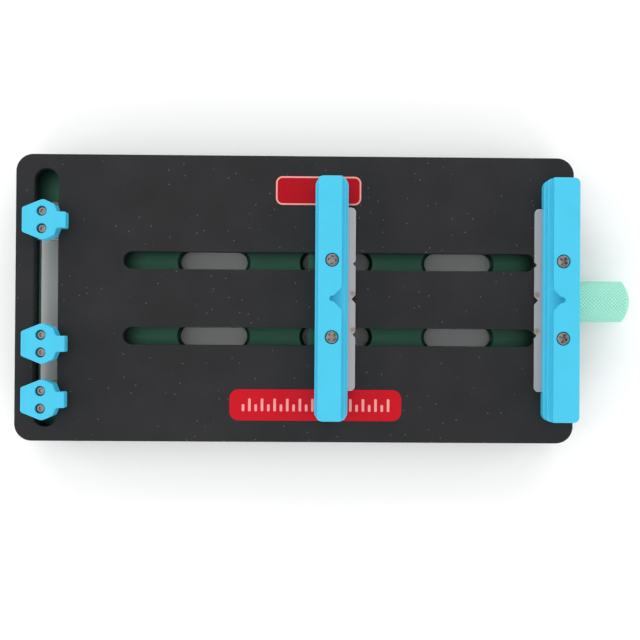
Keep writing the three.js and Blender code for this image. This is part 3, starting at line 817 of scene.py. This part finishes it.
def build_body():
    low, high = node_box("base_body")
    floor, top, end = -12, high.z + 1, high.x + 1
    axis = middle_of("lead_screw")[2]
    cuts = [box(-66, 86, -24.5, 24.5, floor, top),
            slab(rectangle(CROSS_X - 6.3, CROSS_X + 6.3, -46.5, 46.5, 1), [(0, floor), (0, top)]),
            prism(pill(CROSS_X, 0, 69.6, 9.8, True), low.z - 1, floor + 1)]
    flare = [(0, low.z - 1), (0, floor - 1.1), (-1.1, floor), (-1.1, floor + 1)]
    cuts += [slab(pill(58.4 - WINDOW_PITCH * i, y, 24, 7.5), flare) for i in range(3) for y in JAW_SCREW_Y]
    # Bearing seats and clearance for the lead screw, then the guide rods' bores.
    for radius, start, stop in ((3.1, -68.7, -65), (1.8, -69.7, -65), (1.8, 85, end), (3.1, 93.8, end)):
        cuts.append(shaft_along_x(plain(radius, start, stop), axis, 32))
    cuts += [moved(shaft_along_x(plain(2.05, -70, 90), axis, 32), 0, y) for y in GUIDE_ROD_Y]
    well = [(0, low.z - 1), (3.1, low.z - 1), (3.1, low.z), (1.8, low.z + 1.3), (1.8, top), (0, top)]
    for place in PLATE_ENDS:
        x = middle_of(f"plate_screw_back_{place}")[0]
        cuts += [moved(lathe(well, 32), x, y) for y in PLATE_SCREW_Y]
    outer = rectangle(low.x, high.x, low.y, high.y, 5, 14)
    body = machined("body", slab(outer, rounded(low.z, high.z, 0.5, 0.25)), cuts)
    finished(body, "root", "green_body", "base_body")
    low, high = node_box("foot_back_left")
    height = high.z - low.z
    foot = lathe([(0, 0), (3.6, 0), (4.3, 0.12), (4.75, 0.5), (4.92, 1.0), (5, height - 0.3),
                  (4.9, height), (0, height)], 48)
    mesh = mesh_from(machined("foot", foot, [lathe(plain(2.4, -1, 0.5), 32)]))
    names = [f"foot_{side}_{end}" for side in SIDES for end in ("left", "right")]
    points = [(*middle_of(name)[:2], low.z) for name in names]
    finished(pieces_on_points("feet", mesh, points, "rubber_foot"), "root", "rubber_foot", *names)


def outline_band(loop_out, loop_in, z0, z1):
    """A flat closed band between two outlines with the same number of points."""
    n = len(loop_out)
    verts = [(x, y, z) for z in (z0, z1) for loop in (loop_out, loop_in) for x, y in loop]
    faces = []
    for i in range(n):
        j = (i + 1) % n
        faces += [(i, j, n + j, n + i), (2 * n + i, 3 * n + i, 3 * n + j, 2 * n + j),
                  (i, 2 * n + i, 2 * n + j, j), (n + i, n + j, 3 * n + j, 3 * n + i)]
    return verts, faces


def build_labels():
    border = sizes().label_border / MM
    for place, r in (("back", 2.4), ("front", 3.2)):
        low, high = node_box(f"plate_label_{place}")
        film = slab(rectangle(low.x, high.x, low.y, high.y, r), rounded(low.z, high.z, 0, 0.03))
        label = machined(f"label_{place}", film)
        ink = material_for(f"label_{place}")
        finished(label, "root", "red_label", f"plate_label_{place}", material=ink)
    low, high = node_box("plate_label_back")
    rims = [rectangle(low.x + inset, high.x - inset, low.y + inset, high.y - inset, r)
            for inset, r in ((0.05, 2.35), (border, 2.4 - border))]
    outline = new_object("label_outline", mesh_of(outline_band(*rims, high.z, high.z + 0.02)))
    finished(outline, "root", "red_label", material=material_for("label_print"))
    # Plain bars of two lengths, as on a scale, stand for the printing.
    high = node_box("plate_label_front")[1]
    middle = middle_of("plate_label_front")[1]
    for kind, tall, offset in (("long", LONG_BAR, 0.0), ("short", SHORT_BAR, BAR_PITCH / 2)):
        bar = prism(rectangle(-0.45, 0.45, -tall / 2, tall / 2, 0.3), 0, 0.02)
        points = [(high.x - 4.6 - offset - BAR_PITCH * i, middle - (LONG_BAR - tall) / 2, high.z)
                  for i in range(12)]
        bars = pieces_on_points(f"label_bars_{kind}", bar, points, "label_print")
        finished(bars, "root", "red_label", material=material_for("label_print"))


# ------------------------------------------------------------------ jaws

JAW_HALF = (5.7, 4.8, 3.4)  # from the jaw's middle to its foot, its ledge and its top land
LEDGES = (4.6, 6.8)  # heights of the two steps
OVERLAP, HAIR = 0.6, 0.012  # how far a layer reaches into the one below, and how much narrower it is


def clipped(loop, limit, side):
    """The part of the outline whose X, on that side, is within the limit."""
    out, crossings = [], []
    for (x0, y0), (x1, y1) in zip(loop, loop[1:] + loop[:1]):
        inside0, inside1 = side * x0 <= limit + 1e-4, side * x1 <= limit + 1e-4
        if inside0:
            out.append((x0, y0))
        if inside0 != inside1:
            crossings.append((side * limit, y0 + (y1 - y0) * (side * limit - x0) / (x1 - x0)))
            out.append(crossings[-1])
    # A corner closer than 0.25 mm to a crossing would leave a sliver.
    return [p for p in out if p in crossings or all((Vector(p) - Vector(c)).length > 0.25 for c in crossings)]


def with_vee(loop, land):
    """The outline with the V recess let into its right side: a wide mouth and a narrow round throat."""
    throat = arc(0.1, 0, 0.9, 270, 90, 12)
    vee = [(land, -3.8), (1, -1.3), (0.5, -1.02)] + throat + [(0.5, 1.02), (1, 1.3), (land, 3.8)]
    low = min((i for i, p in enumerate(loop) if abs(p[0] - land) < 1e-6), key=lambda i: loop[i][1])
    return loop[: low + 1] + vee + loop[low + 1 :]


def jaw_shape(name, bottom, top, half_length, double_sided, x, turn):
    foot, ledge, land = JAW_HALF
    back_corner = 2.8 if double_sided else 2.0
    plan = filleted([(foot, -half_length, 2.8), (foot, half_length, 2.8),
                     (-foot, half_length, back_corner), (-foot, -half_length, back_corner)], 12)
    edge = sizes().jaw_edge / MM
    # Each layer is a hair narrower than the one below, so that no two walls lie in one plane.
    layers = []
    for limit, z0, z1 in ((foot, bottom, LEDGES[0]), (ledge, LEDGES[0] - OVERLAP, LEDGES[1]),
                          (land, LEDGES[1] - OVERLAP, top)):
        hair = HAIR * len(layers)
        loop = clipped(plan, limit, 1)
        if double_sided:
            loop = clipped(loop, max(limit, ledge), -1)
        if limit == land:
            loop = with_vee(loop, land)
        levels = rounded(z0, z1, edge if limit == foot else 0, edge)
        layers.append(slab(loop, [(inset + hair, z) for inset, z in levels]))
    seat = box(-5.2, foot + 1, -32.2, 32.2, bottom - 1, 1.85)
    # The screw hole: a straight bore, then a cone, then a mouth with a small round edge.
    turns = (math.pi / 2, math.pi / 4, 0)
    mouth = [(2.4 + 0.12 * (1 - math.sin(a)), top - 0.12 * (1 - math.cos(a))) for a in turns]
    bore = SCREW_HOLE_RADIUS
    hole = [(0, bottom - 1), (bore, bottom - 1), (bore, top - 1.8), (2.4, top - 0.95)]
    hole += mouth + [(2.52, top + 1), (0, top + 1)]
    holes = [moved(lathe(hole, 48), 0, y) for y in JAW_SCREW_Y]
    place = dict(x=x, turn=(0, 0, turn))
    first, *rest = [moved(layer, **place) for layer in layers]
    return machined(name, first, [moved(s, **place) for s in (seat, *holes)], rest)


def insert_shape(name, x, turn, z0, z1):
    reach, back, half = 8.4, 4.9, 31.9
    corners = [(reach, -half, 1.6)]
    for y, depth, wide in ((-12.3, 0.95, 1.0), (0, 1.35, 1.5), (12.3, 0.95, 1.0)):
        corners += [(reach, y - wide, 0), (reach - depth, y, 0), (reach, y + wide, 0)]
    corners += [(reach, half, 1.6), (-back, half, 0.5), (-back, -half, 0.5)]
    edge = sizes().steel_edge / MM
    holes = [circle(0, y, SCREW_HOLE_RADIUS) for y in JAW_SCREW_Y]
    plate = slab(filleted(corners, 6), rounded(z0, z1, edge, edge), holes)
    return machined(name, moved(plate, x, turn=(0, 0, turn)))


def build_jaws():
    for prefix, body, turn in (("fixed", "root", 180), ("moving", "jaw_carriage", 0)):
        low, high = node_box(f"{prefix}_jaw")
        x = (low.x + high.x) / 2
        half = (high.y - low.y) / 2
        jaw = jaw_shape(f"{prefix}_jaw_bar", low.z, high.z, half, prefix == "moving", x, turn)
        finished(jaw, body, "blue_jaw", f"{prefix}_jaw")
        low, high = node_box(f"{prefix}_jaw_insert")
        plate = insert_shape(f"{prefix}_insert", x, turn, low.z, high.z)
        edge_x, inward = (low.x, 1) if turn else (high.x, -1)
        spots = [PLATE + Vector((edge_x + inward * back, y, high.z)) * MM
                 for back, y in ((1.0, 2.0), (0.9, -10.6))]
        steel = ground_steel(f"ground_steel_{prefix}", stain_at=spots)
        finished(plate, body, "ground_steel", f"{prefix}_jaw_insert", material=steel)


# ------------------------------------------------------------------ screws


def cross(reach, width):
    """A cross outline about the middle."""
    quarter = [(reach, -width), (reach, width), (width, width)]
    return [(x * math.cos(a) - y * math.sin(a), x * math.sin(a) + y * math.cos(a))
            for a in (0, math.pi / 2, math.pi, 1.5 * math.pi) for x, y in quarter]


def cross_head_screw(head, shank, end):
    """Countersunk screw, its top at height 0: slightly crowned head with a tapered cross recess."""
    depth = sizes().recess_depth / MM
    cone = head - shank
    profile = [(0, end), (shank - 0.3, end), (shank, end + 0.3), (shank, -cone - 0.34), (head - 0.05, -0.4),
               (head, -0.34), (head - 0.1, -0.26), (head * 0.8, -0.15), (head * 0.5, -0.05), (0, 0)]
    return machined("single_screw", lathe(profile, 40), [
        tapered(cross(head * 0.74, head * 0.19), -depth, 0.2, 0.66),
        tapered(circle(0, 0, head * 0.34, 8), -depth, 0.2, 0.7),
    ])


def socket_head_screw(head, top, end):
    """Cylinder head with a six-sided socket, its top at height 0."""
    profile = [(0, end - top), (0.8, end - top), (1, end - top + 0.25), (1, -1.5), (head, -1.5),
               (head, -0.16), (head - 0.05, -0.07), (head - 0.15, 0), (0, 0)]
    socket = prism(arc(0, 0, 0.82, 0, 300, 5), -1.2, 0.3)
    return machined("single_screw", lathe(profile, 32), [socket])


def place_screws(name, single, body, nodes, seed, upside_down=False):
    """The same screw at every one of these CAD screws."""
    mesh = mesh_from(single)
    points = [(*middle_of(node)[:2], node_box(node)[0 if upside_down else 1].z) for node in nodes]
    obj = pieces_on_points(name, mesh, points, "screw_steel", 2 * math.pi, upside_down, seed)
    finished(obj, body, "screw_steel", *nodes)


def build_screws():
    for prefix, body, seed in (("fixed", "root", 3), ("moving", "jaw_carriage", 8)):
        nodes = [f"{prefix}_jaw_screw_{side}" for side in SIDES]
        low, high = node_box(nodes[0])
        place_screws(f"{prefix}_jaw_screws", cross_head_screw(2.1, 1.25, low.z - high.z), body, nodes, seed)
    nodes = [f"plate_screw_{side}_{end}" for side in SIDES for end in PLATE_ENDS]
    low, high = node_box(nodes[0])
    place_screws("plate_screws", cross_head_screw(2.8, 1.5, low.z - high.z), "root", nodes, 5, True)
    for i, place in enumerate(CLIPS):
        nodes = [f"clip_screw_{place}_{n}" for n in (1, 2)]
        low, high = node_box(nodes[0])
        single = socket_head_screw(1.4, high.z, low.z)
        place_screws(f"clip_screws_{place}", single, f"clip_{place}", nodes, 11 + i)


# ------------------------------------------------------------------ clips


def build_clips():
    half = [(8.3, 2.75, 0.5), (5.3, 2.75, 0.8), (4.35, 5.3, 0.9), (0.55, 7.15, 2.4), (-6.7, 4.2, 0.9)]
    plan = filleted(half + [(x, -y, r) for x, y, r in reversed(half)], 8)
    edge = sizes().clip_edge / MM
    for place in CLIPS:
        low, high = node_box(f"board_clip_{place}")
        y, top = (low.y + high.y) / 2, high.z
        cuts = [box(5.3, 10, -4, 4, -1, 2.6), box(7.2, 10, -4, 4, 4.6, 6.3)]
        # A shallow thumb hollow runs across the outer end.
        cuts.append(moved(prism(arc(0, 0, 9.0, 0, 345, 71), -12, 12), -4.6, 0, top + 8.85, (90, 0, 0)))
        well = [(0, -1), (1.3, -1), (1.3, 4.4), (1.75, 4.4), (1.75, top - 0.12), (1.79, top - 0.04),
                (1.87, top), (1.87, top + 1), (0, top + 1)]
        cuts += [moved(lathe(well, 40), 0, side) for side in (3, -3)]
        blank = moved(slab(plan, rounded(low.z, top, edge / 2, edge)), CROSS_X, y)
        clip = machined(f"clip_{place}", blank, [moved(cut, CROSS_X, y) for cut in cuts])
        finished(clip, f"clip_{place}", "blue_jaw", f"board_clip_{place}")
        nut = refined(f"tee_nut_{place}", f"clip_nut_{place}", 0.0003)
        finished(nut, f"clip_{place}", "ground_steel", f"clip_nut_{place}")


# ------------------------------------------------------------------ knob and drive


def dense(profile, step):
    """The profile with points added so that none are further apart along X than the step."""
    points = [profile[0]]
    for (r0, x0), (r1, x1) in zip(profile, profile[1:]):
        count = max(1, math.ceil(abs(x1 - x0) / step))
        points += [(r0 + (r1 - r0) * k / count, x0 + (x1 - x0) * k / count) for k in range(1, count + 1)]
    return points


def build_knob():
    low, high = node_box("knob")
    radius, axis = (high.z - low.z) / 2, (high.z + low.z) / 2
    shoulder = high.x - KNOB_CROWN
    pitch = sizes().knurl_pitch / MM
    around = round(2 * math.pi * radius / (pitch * math.sqrt(2)))
    rim = radius - 0.4
    sphere = (rim ** 2 + KNOB_CROWN ** 2) / (2 * KNOB_CROWN)
    radii = [rim * i / 12 for i in range(12, -1, -1)]
    dome = [(r, high.x - sphere + math.sqrt(sphere ** 2 - r ** 2)) for r in radii]
    profile = [(0, low.x), (radius - 1.6, low.x), (radius - 0.75, low.x), (radius - 0.35, low.x + 0.3),
               (radius, low.x + 0.8), (radius, shoulder - 0.35), (radius - 0.2, shoulder - 0.1)] + dome
    shell = shaft_along_x(dense(profile, pitch / 5), axis, around * 6)
    knob = grooved("knurled_knob", shell, axis, "mint_knob", around, pitch * math.sqrt(2) * MM,
                   sizes().knurl_depth, low.x + 0.75, shoulder - 0.3, True)
    grub_low, grub_high = node_box("knob_grub_screw")
    grub_x = (grub_low.x + grub_high.x) / 2
    well = moved(lathe(plain(1.65, -9, 0), 32), grub_x, 0, axis)
    bore = shaft_along_x(plain(1.6, low.x - 1, 114.3), axis, 32)
    combine(knob, "DIFFERENCE", [well, bore])
    smooth(knob, 40)
    finished(knob, "knob_and_screw", "mint_knob", "knob")
    tall = grub_high.z - grub_low.z
    grub = lathe([(0, 0), (1.1, 0), (1.5, 0.35), (1.5, tall - 0.2), (1.3, tall), (0, tall)], 32)
    socket = prism(arc(0, 0, 0.85, 0, 300, 5), -0.5, 1.3)
    grub, socket = (moved(shell, grub_x, 0, grub_low.z) for shell in (grub, socket))
    finished(machined("grub_screw", grub, [socket]), "knob_and_screw", "screw_steel", "knob_grub_screw")


def build_drive():
    low, high = node_box("lead_screw")
    axis, radius, journal = (low.z + high.z) / 2, (high.z - low.z) / 2, 1.5
    start, stop = -65.6, 85.4  # ends of the thick, threaded length
    profile = [(0, low.x), (journal - 0.25, low.x), (journal, low.x + 0.25), (journal, start),
               (radius - 0.45, start), (radius, start + 0.45), (radius, stop - 0.45), (radius - 0.45, stop),
               (journal, stop), (journal, high.x - 0.25), (journal - 0.25, high.x), (0, high.x)]
    pitch = sizes().thread_pitch
    shell = shaft_along_x(dense(profile, pitch / MM / 5), axis, 24)
    shaft = grooved("threaded_screw", shell, axis, "screw_steel", 1, pitch, sizes().thread_depth,
                    start + 1, 82.0, False)
    smooth(shaft, 50)
    finished(shaft, "knob_and_screw", "screw_steel", "lead_screw")
    for name, node, edge, body, slot in (
        ("collar", "thrust_collar", 0.0002, "knob_and_screw", "screw_steel"),
        ("washer", "thrust_washer", 0.00015, "knob_and_screw", "nylon_washer"),
        ("slide_block", "carriage", 0.00025, "jaw_carriage", "green_body"),
        ("nut_block", "lead_nut", 0.00015, "jaw_carriage", "brass"),
    ):
        finished(refined(name, node, edge), body, slot, node)
    for side in SIDES:
        low, high = node_box(f"guide_bush_{side}")
        rim = (high.z - low.z) / 2
        half = [(1.85, low.x + 0.2), (2.0, low.x), (rim - 0.2, low.x), (rim, low.x + 0.2)]
        ring = half + [(rim, high.x - 0.2), (rim - 0.2, high.x), (2.0, high.x), (1.85, high.x - 0.2)]
        bush = turned(f"bush_{side}", ring, axis, (low.y + high.y) / 2)
        finished(bush, "jaw_carriage", "brass", f"guide_bush_{side}")
        low, high = node_box(f"guide_rod_{side}")
        r = (high.z - low.z) / 2
        ends = [(0, low.x), (r - 0.3, low.x), (r, low.x + 0.3),
                (r, high.x - 0.3), (r - 0.3, high.x), (0, high.x)]
        rod = turned(f"rod_{side}", ends, axis, (low.y + high.y) / 2)
        finished(rod, "root", "ground_steel", f"guide_rod_{side}", material=material_for("rod_steel"))
    for side in ("left", "right"):
        build_bearing(side, axis)


def turned(name, profile, axis, y):
    """A smooth piece turned about a line along X."""
    obj = new_object(name, mesh_of(moved(shaft_along_x(profile, axis, 40), 0, y)))
    smooth(obj)
    return obj


def build_bearing(side, axis):
    """Outer and inner ring with balls between them, in the space of the CAD ring."""
    low, high = node_box(f"screw_bearing_{side}")
    outer, middle, half = (high.z - low.z) / 2, (low.x + high.x) / 2, (high.x - low.x) / 2
    x0, x1 = middle - half, middle + half
    rings = []
    for inner, rim in ((1.6, 2.02), (2.58, outer)):
        ring = [(inner, x0 + 0.1), (inner + 0.1, x0), (rim - 0.1, x0), (rim, x0 + 0.1),
                (rim, x1 - 0.1), (rim - 0.1, x1), (inner + 0.1, x1), (inner, x1 - 0.1)]
        rings.append(shaft_along_x(ring, axis, 40))
    shells = new_object(f"bearing_{side}", mesh_of(*rings))
    smooth(shells)
    finished(shells, "root", "ground_steel", f"screw_bearing_{side}")
    track, ball_radius = 2.3, 0.27
    count = sizes().bearing_balls
    turns = [2 * math.pi * k / count for k in range(count)]
    points = [(middle, track * math.cos(a), axis + track * math.sin(a)) for a in turns]
    arc_of_ball = [(ball_radius * math.sin(math.pi * k / 8) if 0 < k < 8 else 0,
                    -ball_radius * math.cos(math.pi * k / 8)) for k in range(9)]
    balls = pieces_on_points(f"bearing_balls_{side}", lathe(arc_of_ball, 12), points, "ground_steel")
    smooth(balls, 60)
    finished(balls, "root", "ground_steel")


# ------------------------------------------------------------------ stage


def build_stage():
    scene = bpy.context.scene
    scene.view_settings.view_transform = "Standard"
    floor_mesh = bpy.data.meshes.new("floor")
    floor_mesh.from_pydata([(-2, -2, 0), (2, -2, 0), (2, 2, 0), (-2, 2, 0)], [], [(0, 1, 2, 3)])
    floor = new_object("floor", floor_mesh)
    floor_mesh.materials.append(studio_floor())
    world = bpy.data.worlds.new("studio")
    world.use_nodes = True
    sky = world.node_tree.nodes["Background"].inputs
    sky["Color"].default_value, sky["Strength"].default_value = (1, 1, 1, 1), 0.54
    scene.world = world
    # Two long soft boxes beside the ends of the jaws, two lower at the ends of the plate, and one high
    # above it, all aimed at the middle of the floor.
    for name, place, size, power in (
        ("soft_box_back", (0.0, 0.9, 0.5), (1.6, 0.5), 6.5),
        ("soft_box_front", (0.0, -0.9, 0.5), (1.6, 0.5), 6.0),
        ("soft_box_left", (-0.9, 0.0, 0.35), (1.2, 0.5), 4.5),
        ("soft_box_right", (0.9, 0.0, 0.35), (1.2, 0.5), 3.5),
        ("soft_box_top", (-0.25, 0.1, 1.3), (1.0, 1.0), 1.5),
    ):
        lamp = bpy.data.lights.new(name, "AREA")
        lamp.shape, lamp.size, lamp.size_y, lamp.energy = "RECTANGLE", *size, power
        obj = new_object(name, lamp)
        obj.location = place
        obj.rotation_euler = (Vector() - Vector(place)).to_track_quat("-Z", "Y").to_euler()
    # Straight down from 0.4 m above the plate, very slightly tipped.
    camera = bpy.data.cameras.new("camera")
    camera.sensor_width, camera.lens = 36, 64.42
    view = new_object("camera", camera)
    view.location = (-0.00753, -0.01062, 0.4185)
    view.rotation_euler = (0.0082, -0.0137, 0.0067)
    scene.camera = view


# ------------------------------------------------------------------ operators, panel and main


class VISE_OT_stage(bpy.types.Operator):
    """Add the pale floor, the soft lights and the camera"""

    bl_idname = "vise.stage"
    bl_label = "Stage"

    def execute(self, context):
        build_stage()
        return {"FINISHED"}


class VISE_OT_plate(bpy.types.Operator):
    """Build the slotted black top plate"""

    bl_idname = "vise.plate"
    bl_label = "Top plate"

    def execute(self, context):
        build_plate()
        return {"FINISHED"}


class VISE_OT_body(bpy.types.Operator):
    """Build the green body and its rubber feet"""

    bl_idname = "vise.body"
    bl_label = "Body and feet"

    def execute(self, context):
        build_body()
        return {"FINISHED"}


class VISE_OT_labels(bpy.types.Operator):
    """Build the two red labels and their plain print"""

    bl_idname = "vise.labels"
    bl_label = "Labels"

    def execute(self, context):
        build_labels()
        return {"FINISHED"}


class VISE_OT_jaws(bpy.types.Operator):
    """Build both stepped jaws and their steel inserts"""

    bl_idname = "vise.jaws"
    bl_label = "Jaws"

    def execute(self, context):
        build_jaws()
        return {"FINISHED"}


class VISE_OT_screws(bpy.types.Operator):
    """Set the jaw, plate and clip screws"""

    bl_idname = "vise.screws"
    bl_label = "Screws"

    def execute(self, context):
        build_screws()
        return {"FINISHED"}


class VISE_OT_clips(bpy.types.Operator):
    """Build the three board clips and their tee nuts"""

    bl_idname = "vise.clips"
    bl_label = "Board clips"

    def execute(self, context):
        build_clips()
        return {"FINISHED"}


class VISE_OT_knob(bpy.types.Operator):
    """Build the knurled knob and its grub screw"""

    bl_idname = "vise.knob"
    bl_label = "Knob"

    def execute(self, context):
        build_knob()
        return {"FINISHED"}


class VISE_OT_drive(bpy.types.Operator):
    """Build the threaded screw, carriage, guides and bearings"""

    bl_idname = "vise.drive"
    bl_label = "Drive"

    def execute(self, context):
        build_drive()
        return {"FINISHED"}


OPERATORS = [
    VISE_OT_stage, VISE_OT_plate, VISE_OT_body, VISE_OT_labels, VISE_OT_jaws, VISE_OT_screws, VISE_OT_clips,
    VISE_OT_knob, VISE_OT_drive,
]


class VISE_PT_panel(bpy.types.Panel):
    """Sizes, colours and build steps of the circuit board vise"""

    bl_idname = "VISE_PT_panel"
    bl_label = "Circuit board vise"
    bl_space_type = "VIEW_3D"
    bl_region_type = "UI"
    bl_category = "Vise"

    def draw(self, context):
        for group in (context.scene.vise_sizes, context.scene.vise_colours):
            box_of_values = self.layout.box()
            for name in group.bl_rna.properties.keys():
                if name not in {"rna_type", "name"}:
                    box_of_values.prop(group, name)
        for step in OPERATORS:
            self.layout.operator(step.bl_idname)


CLASSES = [ViseSizes, ViseColours, *OPERATORS, VISE_PT_panel]


def register():
    for cls in CLASSES:
        bpy.utils.register_class(cls)
    bpy.types.Scene.vise_sizes = PointerProperty(type=ViseSizes)
    bpy.types.Scene.vise_colours = PointerProperty(type=ViseColours)


def unregister():
    del bpy.types.Scene.vise_colours
    del bpy.types.Scene.vise_sizes
    for cls in reversed(CLASSES):
        bpy.utils.unregister_class(cls)


def main():
    register()
    for step in OPERATORS:
        getattr(bpy.ops.vise, step.bl_idname.split(".")[1])()


if __name__ == "__main__":
    main()
